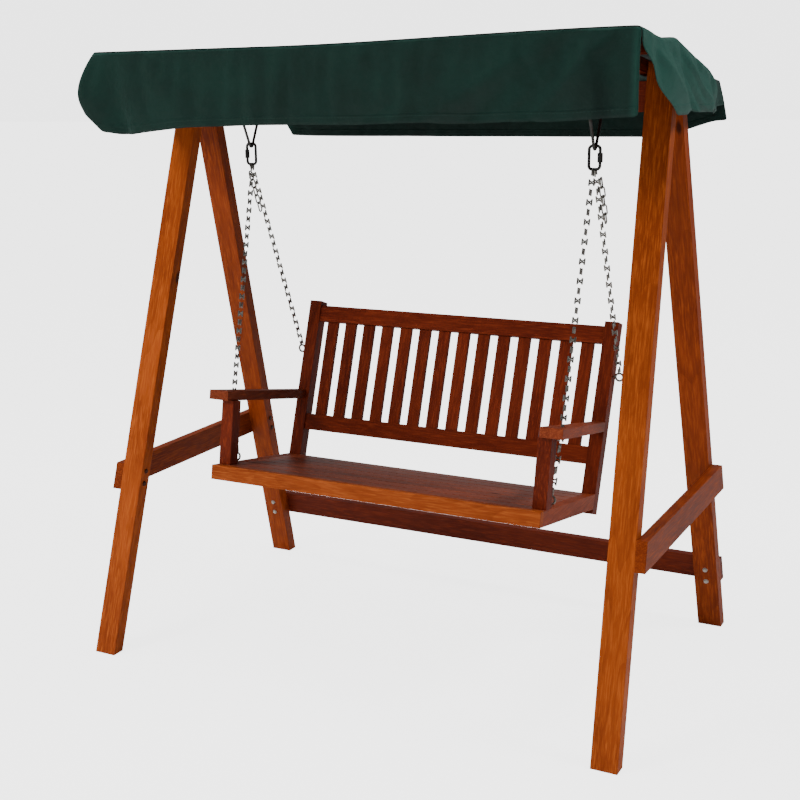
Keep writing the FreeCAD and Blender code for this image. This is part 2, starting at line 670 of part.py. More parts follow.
def bent_rod(wire, radius):
    """A round rod along a closed wire."""
    first = wire.Edges[0]
    start = first.valueAt(first.FirstParameter)
    circle = Part.Circle(start, first.tangentAt(first.FirstParameter), radius)
    return wire.makePipeShell([Part.Wire(circle.toShape())], True, False)


def feature(label, shape):
    item = doc.addObject("Part::Feature", label)
    item.Shape = shape
    return keep(item, label)


def pivot_point(side):
    """Middle of a quick link's top bar, which the bench swings about."""
    return V(side * worked(HANGER_HALF_SPAN), 0, worked(BEAM_LOW) - size("hanger_drop"))


def hanger_shape(side):
    """A rod loop around the beam that draws down to a V, where the quick link hangs."""
    pivot = pivot_point(side)
    wire = size("hanger_wire")
    bend = wire + size("quick_link_wire") + size("running_gap")
    half = size("beam_depth") / 2 + wire + size("running_gap")
    top = worked(BEAM_LOW) + size("beam_height") + wire + size("running_gap") / 2
    shoulder = worked(BEAM_LOW) - wire
    rise = shoulder - pivot.z
    slant = math.atan2(half, rise) - math.asin(bend / math.hypot(half, rise))
    tip = shoulder - half / math.tan(slant)
    points = [V(pivot.x, 0, tip), V(pivot.x, half, shoulder), V(pivot.x, half, top),
              V(pivot.x, -half, top), V(pivot.x, -half, shoulder)]
    corner = wire + 1
    return bent_rod(corner_wire(points, [bend, 3 * wire, corner, corner, 3 * wire]), wire)


def quick_link_path(side):
    pivot = pivot_point(side)
    half = size("quick_link_width") / 2
    low = pivot.z - size("quick_link_drop")
    points = [V(pivot.x + half, 0, pivot.z), V(pivot.x - half, 0, pivot.z),
              V(pivot.x - half, 0, low), V(pivot.x + half, 0, low)]
    return corner_wire(points, [half * QUICK_LINK_BEND] * 4)


def quick_link_shapes(side):
    """A rod link and the hexagonal sleeve nut that closes its outer side."""
    pivot = pivot_point(side)
    half = size("quick_link_width") / 2
    wire = size("quick_link_wire")
    link = bent_rod(quick_link_path(side), wire)
    middle = pivot + V(side * half, 0, -size("quick_link_drop") / 2)
    sleeve = size("sleeve_nut_length")
    across = size("sleeve_nut_radius")
    base = middle - V(0, 0, sleeve / 2)
    hexagon = [base + V(across * math.cos(turn), across * math.sin(turn), 0)
               for turn in (math.radians(60 * step) for step in range(7))]
    nut = Part.Face(Part.makePolygon(hexagon)).extrude(V(0, 0, sleeve))
    bore = Part.makeCylinder(wire + size("thread_gap"), 2 * sleeve, base - V(0, 0, sleeve / 2))
    return link, nut.cut(bore)


def link_shape(pitch):
    """One chain link along Z, in the YZ plane, centred on the origin."""
    wire = size("chain_wire")
    half = size("chain_inner_width") / 2 + wire
    inner = pitch + LINK_CLEARANCE
    straight = inner - size("chain_inner_width")
    shapes = []
    for end in (-1, 1):
        centre = V(0, 0, end * straight / 2)
        bow = Part.makeTorus(half, wire, V(0, 0, 0), V(1, 0, 0), -180, 180, 180)
        bow.rotate(V(0, 0, 0), V(1, 0, 0), 90 if end > 0 else 270)
        bow.translate(centre)
        shapes.append(bow)
        shapes.append(Part.makeCylinder(wire, straight, V(0, end * half, -straight / 2)))
    return shapes[0].multiFuse(shapes[1:]).removeSplitter()


def link_run(start, finish, links, first):
    """Links from start to finish, each a quarter turn from the one before."""
    step = (finish - start) / links
    direction = V(step).normalize()
    shape = link_shape(step.Length)
    run = []
    for number in range(links):
        spin = FreeCAD.Rotation(V(0, 0, 1), 90 * ((first + number) % 2))
        turn = FreeCAD.Rotation(V(0, 0, -1), direction).multiply(spin)
        link = shape.copy()
        link.Placement = FreeCAD.Placement(start + step * (number + 0.5), turn)
        run.append(link)
    return run


def frames():
    """The seat and back frames as placements, from the sheet's values."""
    seat = FreeCAD.Placement(
        V(0, -size("seat_front"), size("seat_level")), FreeCAD.Rotation(V(1, 0, 0), -size("seat_tilt")))
    back = seat.multiply(FreeCAD.Placement(
        V(0, size("seat_depth"), 0), FreeCAD.Rotation(V(1, 0, 0), -size("back_recline"))))
    return seat, back


def eye_shape(centre, axis):
    """A ring with a neck and shank along axis; the ring's plane holds the axis and X."""
    radius, wire = size("eye_radius"), size("eye_wire")
    normal = V(0, 1, 0) if abs(axis.x) > 0.5 else axis.cross(V(1, 0, 0)).normalize()
    ring = Part.makeTorus(radius, wire, centre, normal)
    reach = size("eye_neck") + size("eye_shank") + wire
    shank = Part.makeCylinder(wire, reach, centre + axis * radius, axis)
    return ring.fuse(shank).removeSplitter()


def front_eye(side):
    """Centre and shank direction of the eye on a side rail."""
    seat, _ = frames()
    x = side * (size("seat_half_width") - size("seat_rail_thick") / 2)
    rise = size("eye_neck") + size("eye_radius") + size("eye_wire")
    centre = seat.multVec(V(x, size("rail_eye_setback"), rise))
    return centre, seat.Rotation.multVec(V(0, 0, -1))


def rear_eye(side):
    """Centre and shank direction of the eye on a back post."""
    _, back = frames()
    reach = size("eye_neck") + size("eye_radius") + size("eye_wire")
    spot = V(side * (size("seat_half_width") + reach), size("post_depth") / 2, size("post_eye_level"))
    return back.multVec(spot), V(-side, 0, 0)


def odd(count):
    """The odd whole number nearest to count."""
    return 2 * round((count - 1) / 2) + 1


def chain_start(side, across):
    """Middle of the quick link's bottom bar where a chain hangs, across outwards from the pivot."""
    return pivot_point(side) + V(side * across, 0, -size("quick_link_drop"))


def front_chain(side):
    """From the quick link down through the arm to the eye on the side rail."""
    seat, _ = frames()
    across = size("chain_wire") + size("running_gap")
    bar = chain_start(side, -across)
    arm_middle = size("arm_height") - size("arm_thick") / 2
    arm_middle -= (size("arm_hole_setback") - size("arm_front")) * math.tan(math.radians(size("arm_slope")))
    through = seat.multVec(V(side * worked(ARM_HALF_SPAN), size("arm_hole_setback"), arm_middle))
    centre, axis = front_eye(side)
    ring_top = centre - axis * size("eye_radius")
    upper, lower = (through - bar).normalize(), (ring_top - through).normalize()
    start = bar - upper * (size("quick_link_wire") + LINK_CLEARANCE / 2)
    finish = ring_top + lower * (size("eye_wire") + LINK_CLEARANCE / 2)
    count = round((through - start).Length / size("chain_pitch"))
    rest = odd(count + (finish - through).Length / size("chain_pitch")) - count
    return link_run(start, through, count, 0) + link_run(through, finish, rest, count)


def rear_chain(side):
    """From the quick link to the eye on the back post."""
    across = size("chain_wire") + size("running_gap")
    bar = chain_start(side, across)
    centre, _ = rear_eye(side)
    ring_top = centre + V(0, 0, size("eye_radius"))
    along = (ring_top - bar).normalize()
    start = bar - along * (size("quick_link_wire") + LINK_CLEARANCE / 2)
    finish = ring_top + along * (size("eye_wire") + LINK_CLEARANCE / 2)
    return link_run(start, finish, odd((finish - start).Length / size("chain_pitch")), 0)


def make_hanging():
    eyes, nuts = [], []
    for side_name, side in SIDES:
        feature(f"hanger_loop_{side_name}", hanger_shape(side))
        link, nut = quick_link_shapes(side)
        feature(f"quick_link_{side_name}", link)
        feature(f"chains_{side_name}", Part.makeCompound(front_chain(side) + rear_chain(side)))
        nuts.append(nut)
        eyes += [eye_shape(*front_eye(side)), eye_shape(*rear_eye(side))]
    feature("quick_link_nuts", Part.makeCompound(nuts))
    feature("chain_eyes", Part.makeCompound(eyes))


def make_frame_bolts():
    """All the bolts and screws of the stand."""
    corners = [(side, end) for _, side in SIDES for _, end in ENDS]
    bolts = bolt_set("brace", [spot for corner in corners for spot in brace_spots(*corner)], BRACE_BOLT)
    bolts += bolt_set("stretcher", stretcher_spots(-1) + stretcher_spots(1), STRETCHER_BOLT)
    bolts += bolt_set("beam", [beam_spot(*corner) for corner in corners], BEAM_BOLT)
    group("frame_bolts", bolts)
    group("canopy_pivot_bolts", bolt_set("pivot", [pivot_spot(-1), pivot_spot(1)], PIVOT_BOLT))


def make_frame():
    for side_name, side in SIDES:
        for end_name, end in ENDS:
            make_leg(side_name, side, end_name, end)
        make_brace(side_name, side)
        make_rafter(side_name, side)
    make_stretcher()
    make_beam()
    make_frame_bolts()
    make_wing_nuts()


make_frame()
make_canopy_rails()
make_cover()
make_seat_frame()
make_seat_slats()
make_back()
make_arms()
make_hanging()
doc.recompute()

faults = [item.Name for item in doc.Objects if {"Invalid", "Error"} & set(item.State)]
faults += [item.Label for item in nodes if item.Shape.isNull() or not item.Shape.isValid()]
if faults:
    raise RuntimeError("failed: " + ", ".join(faults))

os.makedirs("parts", exist_ok=True)
for item in nodes:
    item.Shape.exportStep(os.path.join("parts", item.Label + ".step"))
print(len(nodes), "nodes")
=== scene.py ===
"""Looks of the porch swing: stained boards, zinc chain and a draped canopy."""
import json
import math

import bmesh
import bpy
from mathutils import Matrix, Vector

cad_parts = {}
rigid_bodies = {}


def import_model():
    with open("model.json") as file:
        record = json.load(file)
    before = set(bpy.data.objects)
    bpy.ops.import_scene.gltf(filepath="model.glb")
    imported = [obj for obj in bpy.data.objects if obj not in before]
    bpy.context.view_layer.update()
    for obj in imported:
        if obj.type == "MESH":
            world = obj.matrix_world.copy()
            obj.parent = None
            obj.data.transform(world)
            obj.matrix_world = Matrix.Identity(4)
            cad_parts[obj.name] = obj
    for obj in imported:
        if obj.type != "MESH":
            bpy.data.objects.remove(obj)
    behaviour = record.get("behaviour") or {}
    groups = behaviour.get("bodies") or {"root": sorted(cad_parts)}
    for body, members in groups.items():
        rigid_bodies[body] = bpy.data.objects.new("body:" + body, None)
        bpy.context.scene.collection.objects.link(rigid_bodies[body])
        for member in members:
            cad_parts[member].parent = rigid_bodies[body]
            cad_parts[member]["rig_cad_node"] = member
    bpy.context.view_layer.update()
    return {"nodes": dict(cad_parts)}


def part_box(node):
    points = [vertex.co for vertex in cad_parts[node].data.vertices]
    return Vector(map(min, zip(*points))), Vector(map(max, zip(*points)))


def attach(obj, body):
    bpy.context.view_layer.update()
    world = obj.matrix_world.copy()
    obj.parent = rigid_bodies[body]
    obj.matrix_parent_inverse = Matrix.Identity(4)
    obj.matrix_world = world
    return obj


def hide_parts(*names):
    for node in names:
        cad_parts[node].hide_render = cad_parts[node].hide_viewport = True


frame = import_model()
nodes = frame["nodes"]
scene = bpy.context.scene


# ---------------------------------------------------------------- small helpers

def smooth(low, high, value):
    """0 before low, 1 after high and an easy curve between."""
    t = min(1.0, max(0.0, (value - low) / (high - low)))
    return t * t * (3 - 2 * t)


def mix(a, b, t):
    return a + (b - a) * t


def new_object(name, data):
    obj = bpy.data.objects.new(name, data)
    scene.collection.objects.link(obj)
    return obj


def shade_smooth(mesh):
    mesh.polygons.foreach_set("use_smooth", [True] * len(mesh.polygons))


def apply_modifiers(obj):
    """Turns the object's modifiers into plain mesh."""
    depsgraph = bpy.context.evaluated_depsgraph_get()
    mesh = bpy.data.meshes.new_from_object(obj.evaluated_get(depsgraph))
    obj.modifiers.clear()
    obj.data = mesh


# ---------------------------------------------------------------- shader helpers

class Shader:
    """A material with one Principled shader and short calls that add and link nodes."""

    def __init__(self, name, **values):
        self.material = bpy.data.materials.new(name)
        self.material.use_nodes = True
        self.tree = self.material.node_tree
        self.bsdf = self.tree.nodes["Principled BSDF"]
        for socket, value in values.items():
            self.bsdf.inputs[socket.replace("_", " ")].default_value = value

    def add(self, kind, **settings):
        node = self.tree.nodes.new(kind)
        for key, value in settings.items():
            setattr(node, key, value)
        return node

    def feed(self, socket, source):
        """Links a socket, or sets it when source is a plain value."""
        if isinstance(source, bpy.types.NodeSocket):
            self.tree.links.new(source, socket)
        else:
            socket.default_value = source

    def math(self, operation, a, b=0.0):
        node = self.add("ShaderNodeMath", operation=operation)
        self.feed(node.inputs[0], a)
        self.feed(node.inputs[1], b)
        return node.outputs[0]

    def dot(self, vector, direction):
        node = self.add("ShaderNodeVectorMath", operation="DOT_PRODUCT")
        self.feed(node.inputs[0], vector)
        self.feed(node.inputs[1], direction)
        return node.outputs["Value"]

    def combine(self, x, y, z):
        node = self.add("ShaderNodeCombineXYZ")
        for socket, value in zip(node.inputs, (x, y, z)):
            self.feed(socket, value)
        return node.outputs[0]

    def ramp(self, value, low, high, out_low=0.0, out_high=1.0):
        node = self.add("ShaderNodeMapRange", interpolation_type="SMOOTHSTEP")
        self.feed(node.inputs["Value"], value)
        for socket, number in zip(node.inputs[1:5], (low, high, out_low, out_high)):
            socket.default_value = number
        return node.outputs["Result"]

    def noise(self, vector, scale, detail=3.0, roughness=0.55):
        node = self.add("ShaderNodeTexNoise")
        self.feed(node.inputs["Vector"], vector)
        node.inputs["Scale"].default_value = scale
        node.inputs["Detail"].default_value = detail
        node.inputs["Roughness"].default_value = roughness
        return node.outputs["Fac"]

    def blend(self, factor, a, b, mode="MIX"):
        node = self.add("ShaderNodeMix", data_type="RGBA", blend_type=mode)
        self.feed(node.inputs[0], factor)
        for socket, colour in zip(node.inputs[6:8], (a, b)):
            self.feed(socket, colour if isinstance(colour, bpy.types.NodeSocket) else (*colour, 1.0))
        return node.outputs[2]

    def position(self):
        return self.add("ShaderNodeTexCoord").outputs["Object"]

    def attribute(self, name):
        """A number stored on the mesh."""
        return self.add("ShaderNodeAttribute", attribute_name=name).outputs["Fac"]

    def bump(self, height, depth, strength=1.0, normal=None):
        node = self.add("ShaderNodeBump")
        node.inputs["Strength"].default_value = strength
        node.inputs["Distance"].default_value = depth
        self.feed(node.inputs["Height"], height)
        if normal is not None:
            self.feed(node.inputs["Normal"], normal)
        return node.outputs["Normal"]

    def eased_edges(self, radius):
        """Normals of slightly rounded edges, and a mask of those edges."""
        bevel = self.add("ShaderNodeBevel", samples=4)
        bevel.inputs["Radius"].default_value = radius
        true_normal = self.add("ShaderNodeNewGeometry").outputs["True Normal"]
        flatness = self.dot(bevel.outputs["Normal"], true_normal)
        return bevel.outputs["Normal"], self.ramp(flatness, 0.995, 0.8)

    def surface(self, colour, roughness, normal):
        self.feed(self.bsdf.inputs["Base Color"], colour)
        self.feed(self.bsdf.inputs["Roughness"], roughness)
        self.feed(self.bsdf.inputs["Normal"], normal)
        return self.material


# ---------------------------------------------------------------- wood

SKEW = Vector((0.31, 0.94, 0.17))     # lies along no board, so every board has a direction across it
EDGE_RADIUS = 0.0025


def grain_axes(node):
    """Unit vectors along, across and through a board, from its own vertices."""
    points = [v.co for v in node.data.vertices]
    low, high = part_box(node["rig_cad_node"])
    size = high - low
    longest = max(range(3), key=lambda axis: size[axis])
    points.sort(key=lambda point: point[longest])
    count = max(1, len(points) // 4)
    start = sum(points[:count], Vector()) / count
    end = sum(points[-count:], Vector()) / count
    along = (end - start).normalized()
    across = along.cross(SKEW).normalized()
    return along, across, along.cross(across)


def stained_wood(name, axes, dark, mid, light, knots=0.5, dullness=0.5, polish=0.10):
    """Stained sawn softwood: growth rings, fine streaks, knots, blotchy stain and rubbed edges."""
    shader = Shader(name, Coat_Weight=0.03, Coat_Roughness=0.4, Specular_IOR_Level=polish)
    place = shader.position()
    along, across, through = (shader.dot(place, axis) for axis in axes)
    tint = shader.add("ShaderNodeObjectInfo").outputs["Random"]
    shift = shader.math("MULTIPLY", tint, 7.0)
    lengthwise = shader.math("ADD", along, shift)

    stretched = shader.combine(shader.math("MULTIPLY", lengthwise, 0.07), across, through)
    streaks = shader.noise(stretched, 260.0, detail=5.0, roughness=0.65)
    pores = shader.noise(stretched, 900.0, detail=2.0)
    rings_at = shader.combine(shader.math("MULTIPLY", lengthwise, 0.16), across, through)
    warped = shader.noise(rings_at, 9.0, detail=2.0)
    rings = shader.math("FRACT", shader.math("MULTIPLY", warped, 9.0))
    late_wood = shader.ramp(rings, 0.55, 0.98)
    blotch_at = shader.combine(shader.math("MULTIPLY", lengthwise, 0.4), across, through)
    blotch = shader.noise(blotch_at, 6.0)

    cells = shader.add("ShaderNodeTexVoronoi", feature="F1")
    shader.feed(cells.inputs["Vector"], shader.combine(
        shader.math("MULTIPLY", lengthwise, 5.0), shader.math("MULTIPLY", across, 12.0),
        shader.math("MULTIPLY", through, 12.0)))
    cells.inputs["Scale"].default_value = 1.0
    lot = shader.dot(cells.outputs["Color"], (1.0, 0.0, 0.0))
    chosen = shader.math("GREATER_THAN", lot, 1.0 - knots)
    knot = shader.math("MULTIPLY", shader.ramp(cells.outputs["Distance"], 0.13, 0.05), chosen)

    colour = shader.blend(shader.ramp(blotch, 0.3, 0.72), dark, mid)
    colour = shader.blend(shader.ramp(streaks, 0.42, 0.72), colour, light)
    colour = shader.blend(shader.math("MULTIPLY", late_wood, 0.4), colour, dark)
    heart = [channel * 0.12 for channel in dark]
    colour = shader.blend(shader.math("MULTIPLY", knot, 0.85), colour, heart)
    shade = shader.ramp(tint, 0.0, 1.0, 0.82, 1.12)
    colour = shader.blend(1.0, colour, shader.combine(shade, shade, shade), "MULTIPLY")
    normals, edge = shader.eased_edges(EDGE_RADIUS)
    rubbed = shader.ramp(shader.noise(place, 40.0), 0.42, 0.62, 0.0, 0.55)
    wear = shader.math("MULTIPLY", edge, rubbed)
    colour = shader.blend(wear, colour, [min(1.0, channel * 1.6) for channel in light])

    relief = shader.math("ADD", streaks, shader.math("MULTIPLY", pores, 0.5))
    relief = shader.math("SUBTRACT", relief, shader.math("MULTIPLY", late_wood, 0.25))
    roughness = shader.math("ADD", shader.math("MULTIPLY", streaks, 0.22), dullness - 0.1)
    return shader.surface(colour, roughness, shader.bump(relief, 0.0006, 0.5, normals))


# Dark, middle and light tones of each stain.
ORANGE_STAIN = ((0.17, 0.026, 0.0035), (0.31, 0.057, 0.0070), (0.42, 0.090, 0.0120))
LEG_STAIN = ((0.13, 0.017, 0.0030), (0.24, 0.038, 0.0055), (0.34, 0.063, 0.0090))
RED_STAIN = ((0.085, 0.010, 0.0040), (0.16, 0.021, 0.0070), (0.23, 0.035, 0.0110))
SEAT_STAIN = ((0.12, 0.020, 0.0080), (0.21, 0.038, 0.0140), (0.30, 0.064, 0.0240))
APRON_STAIN = ((0.20, 0.032, 0.0050), (0.36, 0.070, 0.0110), (0.48, 0.110, 0.0200))


def named(start):
    return [name for name in nodes if name.startswith(start)]


def board_groups():
    """Boards that share one grain direction and one stain: name, nodes, stain, share of knots."""
    groups = []
    for end in ("front", "rear"):
        for side in ("left", "right"):
            stain = ORANGE_STAIN if end == "front" else LEG_STAIN
            groups.append((f"{end}_leg_{side}_wood", [f"{end}_leg_{side}"], stain, 0.3))
    groups.append(("brace_wood", ["side_brace_left", "side_brace_right"], LEG_STAIN, 0.15))
    groups.append(("stretcher_wood", ["rear_stretcher", "top_beam"], RED_STAIN, 0.15))
    groups.append(("canopy_rail_wood", named("canopy_rail"), RED_STAIN, 0.1))
    groups.append(("canopy_rafter_wood", named("canopy_rafter"), RED_STAIN, 0.1))
    groups.append(("apron_wood", ["seat_apron"], APRON_STAIN, 0.1))
    groups.append(("seat_slat_wood", named("seat_slat") + ["seat_rear_rail"], SEAT_STAIN, 0.1))
    seat_sides = ["seat_side_rail_left", "seat_side_rail_right", "seat_middle_bearer", "seat_cleats"]
    groups.append(("seat_side_wood", seat_sides, SEAT_STAIN, 0.1))
    groups.append(("back_rail_wood", ["back_rail_lower", "back_rail_top"], RED_STAIN, 0.1))
    groups.append(("back_slat_wood", named("back_slat") + named("back_post"), RED_STAIN, 0.05))
    groups.append(("arm_wood", ["arm_left", "arm_right"], SEAT_STAIN, 0.05))
    groups.append(("arm_post_wood", ["arm_post_left", "arm_post_right"], RED_STAIN, 0.05))
    return groups


def paint(names, material):
    for name in names:
        mesh = nodes[name].data
        mesh.materials.clear()
        mesh.materials.append(material)


def finish_boards():
    """Stains every board; the seat's slats, worn smooth by use, shine more than the others."""
    for name, members, stain, knots in board_groups():
        worn = {"dullness": 0.42, "polish": 0.55} if name == "seat_slat_wood" else {}
        paint(members, stained_wood(name, grain_axes(nodes[members[0]]), *stain, knots=knots, **worn))


# ---------------------------------------------------------------- steel

def zinc(name, colour, tarnish, roughness):
    """Zinc-plated steel with spangle, dull patches and rust-brown tarnish."""
    shader = Shader(name, Metallic=1.0)
    place = shader.position()
    patches = shader.noise(place, 90.0, detail=4.0)
    spangle = shader.noise(place, 900.0, detail=1.0)
    base = shader.blend(shader.ramp(patches, 0.45, 0.7), colour, tarnish)
    fleck = [channel * 1.5 for channel in colour]
    base = shader.blend(shader.math("MULTIPLY", spangle, 0.25), base, fleck)
    rough = shader.math("ADD", shader.math("MULTIPLY", patches, 0.3), roughness - 0.15)
    relief = shader.math("ADD", spangle, patches)
    return shader.surface(base, rough, shader.bump(relief, 0.0002, 0.4))


STAINED_ABOVE = 0.36           # bolts below this height are bright


def stand_bolts():
    """The stretcher's low bolts are bright; those higher up are stained over with the boards."""
    shader = Shader("stand_bolt_plate", Metallic=0.7)
    place = shader.position()
    height = shader.dot(place, (0.0, 0.0, 1.0))
    patches = shader.noise(place, 120.0, detail=4.0)
    bright = shader.blend(patches, (0.34, 0.31, 0.27), (0.56, 0.53, 0.48))
    stained = shader.blend(patches, (0.030, 0.010, 0.006), (0.085, 0.022, 0.010))
    colour = shader.blend(shader.math("GREATER_THAN", height, STAINED_ABOVE), bright, stained)
    roughness = shader.ramp(patches, 0.3, 0.7, 0.35, 0.6)
    return shader.surface(colour, roughness, shader.bump(patches, 0.0002, 0.5))


def finish_steel():
    """Paints the metal and returns the chain's material for the spare links."""
    bright = zinc("zinc_plate", (0.42, 0.42, 0.41), (0.20, 0.18, 0.15), 0.38)
    chain = zinc("chain_zinc", (0.30, 0.30, 0.275), (0.120, 0.105, 0.085), 0.42)
    black = zinc("hanger_steel", (0.055, 0.055, 0.052), (0.030, 0.026, 0.022), 0.45)
    paint(["frame_bolts"], stand_bolts())
    paint(["canopy_pivot_bolts", "wing_nuts"], bright)
    paint(["hanger_loop_left", "hanger_loop_right", "quick_link_left", "quick_link_right",
           "quick_link_nuts"], black)
    paint(["chains_left", "chains_right", "chain_eyes"], chain)
    return chain


# ---------------------------------------------------------------- spare chain

TAIL_LINKS = 5
TAIL_WIRE = 0.0022
TAIL_HALF = 0.0067             # half the width of a link, to the middle of its wire
TAIL_PITCH = 0.0263
TAIL_ASIDE = 0.0122            # from the middle of the chain it hangs beside
RING_POINTS = 24


def link_ring(middle, along, across):
    """Points round the middle line of one link."""
    straight = (TAIL_PITCH + 2 * TAIL_WIRE) / 2 - TAIL_HALF
    points = []
    for step in range(RING_POINTS):
        turn = 2 * math.pi * step / RING_POINTS
        reach = math.sin(turn) * TAIL_HALF
        points.append(middle + across * math.cos(turn) * TAIL_HALF
                      + along * (reach + math.copysign(straight, reach)))
    return points


def tube(bm, points, radius, sides=8):
    """A closed round tube through the points."""
    centre = sum(points, Vector()) / len(points)
    normal = (points[0] - centre).cross(points[RING_POINTS // 4] - centre).normalized()
    rings = []
    for number, point in enumerate(points):
        ahead = (points[(number + 1) % len(points)] - points[number - 1]).normalized()
        outward = ahead.cross(normal)
        rings.append([bm.verts.new(point + radius * (outward * math.cos(2 * math.pi * k / sides)
                                                     + normal * math.sin(2 * math.pi * k / sides)))
                      for k in range(sides)])
    for number, ring in enumerate(rings):
        after = rings[(number + 1) % len(rings)]
        for k in range(sides):
            bm.faces.new((ring[k], ring[(k + 1) % sides], after[(k + 1) % sides], after[k]))


def chain_tails(material):
    """Spare links left hanging beside the top of each rear chain."""
    for side_name, side in (("left", -1), ("right", 1)):
        link_low, link_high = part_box(f"quick_link_{side_name}")
        eye_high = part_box("chain_eyes")[1]
        middle_x = (link_low.x + link_high.x) / 2
        top = Vector((middle_x + side * 0.0028, 0.0, link_low.z + 0.004))
        foot = Vector((middle_x + side * 0.004, eye_high.y - 0.003, eye_high.z - 0.003))
        along = (foot - top).normalized()
        aside = along.cross(Vector((1, 0, 0))).normalized()
        start = top + along * TAIL_PITCH + Vector((side * TAIL_ASIDE, 0, 0))
        bm = bmesh.new()
        for number in range(TAIL_LINKS):
            middle = start + along * TAIL_PITCH * (number + 0.5)
            across = Vector((1, 0, 0)) if number % 2 else aside
            tube(bm, link_ring(middle, along, across), TAIL_WIRE)
        mesh = bpy.data.meshes.new(f"chain_tail_{side_name}")
        bm.to_mesh(mesh)
        bm.free()
        shade_smooth(mesh)
        mesh.materials.append(material)
        tail = new_object(f"chain_tail_{side_name}", mesh)
        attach(tail, "swing")


# ---------------------------------------------------------------- canopy cloth

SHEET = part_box("canopy_cover")
FRONT_Y, REAR_Y = SHEET[0].y, SHEET[1].y
HALF = SHEET[1].x + 0.004
RIDGE_Y = -0.128               # the rail that the roof bends over
FRONT_TOP, RIDGE_TOP, REAR_TOP = 1.7515, 1.7470, 1.636
ROLL = 0.014                   # radius of the cloth's turn over the front rail
REAR_HALF = 0.712              # the cover is pulled in over the shorter rear rail
VALANCE_ROWS = 12
FLAP_ROWS = 9                  # the side flaps are cut shorter than the front valance
STEP = 0.018                   # size of the cloth's squares
CLOTH_THICK = 0.0014
WELD = 0.0008                  # panel edges closer than this are sewn together
SIDE_LINE = 0.66               # the roof is also held along this line at each end
GRIP = 0.020                   # cloth this near to a board or a seam is held
SETTLE_FRAMES = 30
SETTLE_LIMIT = 0.020           # the furthest that draping moves the cloth
ROOF_SINK = 0.004              # the furthest that it lowers the roof


def half_width(y):
    return mix(HALF, REAR_HALF, smooth(0.08, REAR_Y, y))


def roof_level(x, y):
    """The stretched roof: two planes sagging between the boards, peaked at the front right corner."""
    if y < RIDGE_Y:
        t = (y - FRONT_Y) / (RIDGE_Y - FRONT_Y)
        level = mix(FRONT_TOP, RIDGE_TOP, t) - 0.010 * math.sin(math.pi * t)
    else:
        t = (y - RIDGE_Y) / (REAR_Y - RIDGE_Y)
        sag = mix(0.006, 0.020, smooth(0.60, HALF, x))
        level = mix(RIDGE_TOP, REAR_TOP, t) - sag * math.sin(math.pi * t)
    return level + 0.018 * smooth(-0.2, HALF, x) * smooth(-0.16, -0.38, y)


def front_hem(x):
    dip = 0.016 * smooth(-0.45, -0.70, x) - 0.010 * smooth(-0.70, -HALF, x)
    return 1.563 + 0.014 * x / HALF - dip


def rear_hem(x):
    return 1.482 + 0.045 * smooth(0.52, 0.70, x)


def flap_hem(side, y):
    if side > 0:
        return 1.583 - 0.013 * smooth(0.1, 0.4, y)
    return mix(1.574, 1.560, smooth(-0.4, 0.5, y))


# Pulled folds of the front valance: x at the top, x at the hem, depth and width.
VALANCE_FOLDS = (
    (0.72, 0.50, 0.016, 0.030), (0.66, 0.33, -0.014, 0.045), (0.60, 0.22, 0.010, 0.035),
    (0.50, 0.05, -0.008, 0.050), (0.36, -0.12, 0.006, 0.050), (-0.60, -0.42, 0.008, 0.060),
    (-0.70, -0.66, -0.010, 0.035), (0.10, -0.25, 0.004, 0.060), (-0.20, -0.35, -0.004, 0.080),
)
# Folds of the right side flap: y at the top, y at the hem, depth and width.
FLAP_FOLDS = (
    (-0.36, -0.04, 0.018, 0.035), (-0.26, 0.10, -0.016, 0.030), (-0.12, 0.20, 0.018, 0.032),
    (0.00, 0.32, -0.014, 0.035), (0.15, 0.40, 0.014, 0.030), (0.32, 0.46, -0.010, 0.030),
)


def fold(folds, at, depth):
    """How far the cloth stands out at a place along a panel, depth 0 at its top and 1 at its hem."""
    total = 0.0
    for top, bottom, height, width in folds:
        crest = mix(top, bottom, depth)
        total += height * math.exp(-((at - crest) / width) ** 2)
    return total * smooth(0.0, 0.25, depth)


def turned_over(point):
    """Rounds the cloth's fold over the front rail, from the roof down into the valance."""
    top = roof_level(point.x, FRONT_Y)
    inward, below = point.y - (FRONT_Y - ROLL / 2) - ROLL, top - point.z - ROLL
    if inward < 0 and below < 0 and math.hypot(inward, below) > ROLL:
        scale = ROLL / math.hypot(inward, below)
        point.y = FRONT_Y + ROLL / 2 + inward * scale
        point.z = top - ROLL - below * scale
    return point


def panel(bm, columns, rows, place, drop=None):
    """Adds a grid of quads at place(column share, row share), each point marked with its height over the hem.

    Without a drop the panel has no hem, and its points are all marked as far from one.
    """
    from_hem = bm.verts.layers.float["from_hem"]
    grid = []
    for r in range(rows + 1):
        places = [turned_over(place(c / columns, r / rows)) for c in range(columns + 1)]
        grid.append([bm.verts.new(spot) for spot in places])
        for vert in grid[-1]:
            vert[from_hem] = (1 - r / rows) * drop if drop else 1.0
    for upper, lower in zip(grid, grid[1:]):
        for c in range(columns):
            bm.faces.new((upper[c], upper[c + 1], lower[c + 1], lower[c]))


def roof_point(across, back):
    y = mix(FRONT_Y, REAR_Y, back)
    x = half_width(y) * (2 * across - 1)
    return Vector((x, y, roof_level(x, y)))


def front_point(across, down):
    top = roof_point(across, 0.0)
    x = top.x
    corner = smooth(-0.58, -HALF, x)
    bulge = math.sin(math.pi * min(1.0, down * 1.02))
    out = 0.010 * bulge + fold(VALANCE_FOLDS, x, down) + 0.012 * corner * bulge
    shifted = x - 0.050 * corner * bulge + 0.02 * corner * smooth(0.7, 1.0, down)
    return Vector((shifted, top.y - ROLL / 2 - out, mix(top.z, front_hem(x), down)))


